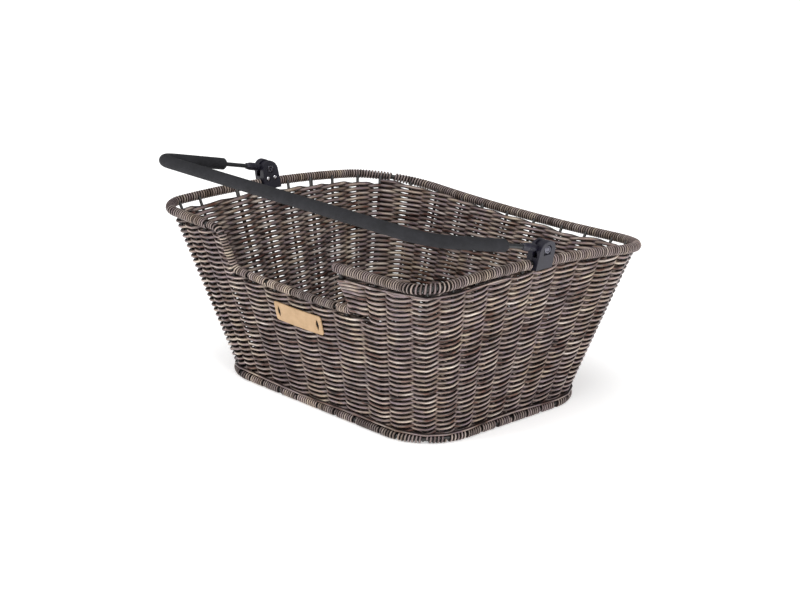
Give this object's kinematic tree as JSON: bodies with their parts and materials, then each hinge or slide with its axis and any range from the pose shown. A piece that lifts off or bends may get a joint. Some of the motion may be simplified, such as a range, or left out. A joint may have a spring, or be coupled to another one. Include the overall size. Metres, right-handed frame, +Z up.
{
  "type": "bicycle basket with folding handle",
  "caption": "Woven rectangular bicycle basket on a wire frame, with a wrapped rim, a dip in its front, a bare label plate and a foam-gripped carrying handle that swings over the top.",
  "frame": {"origin": "middle of the underside, on the surface that the basket stands on", "axes": "+X along the long side, -Y towards the front with the dip and the label, +Z up"},
  "size_m": [0.479, 0.3764, 0.2578],
  "materials": {
    "wire": "semi-gloss black paint on steel wire",
    "weave": "streaked grey-brown plastic rattan with a soft sheen",
    "binding": "streaked grey-brown plastic rattan with a soft sheen",
    "plastic": "satin black moulding",
    "foam": "matte charcoal foam tube",
    "rod": "black coated steel",
    "bolt": "dark plated steel",
    "screw": "bright plated steel",
    "label": "light tan, smooth, matte",
    "tie": "dark brown"
  },
  "bodies": {
    "basket": {"wire_frame": "wire", "woven_wall": "weave", "woven_floor": "weave", "rim_binding_front_right": "binding", "rim_binding_back_right": "binding", "rim_binding_back": "binding", "rim_binding_back_left": "binding", "rim_binding_front_left": "binding", "dip_binding": "binding", "base_binding_front": "binding", "base_binding_right": "binding", "base_binding_back": "binding", "base_binding_left": "binding", "label_plate": "label", "label_tie_left": "tie", "label_tie_right": "tie", "bracket_inner_right": "plastic", "bracket_outer_right": "plastic", "pivot_bolt_right": "bolt", "pivot_nut_right": "bolt", "bracket_screw_front_right": "screw", "bracket_screw_back_right": "screw", "bracket_inner_left": "plastic", "bracket_outer_left": "plastic", "pivot_bolt_left": "bolt", "pivot_nut_left": "bolt", "bracket_screw_front_left": "screw", "bracket_screw_back_left": "screw"},
    "handle": {"bail_rod": "rod", "foam_grip": "foam", "handle_end_right": "plastic", "handle_end_left": "plastic"}
  },
  "joints": [
    {"name": "handle_swing", "type": "hinge", "parent": "basket", "child": "handle", "pos_m": [0, -0.0085, 0.21098], "axis": [-1, 0, 0], "range_deg": [-13, 170]}
  ]
}
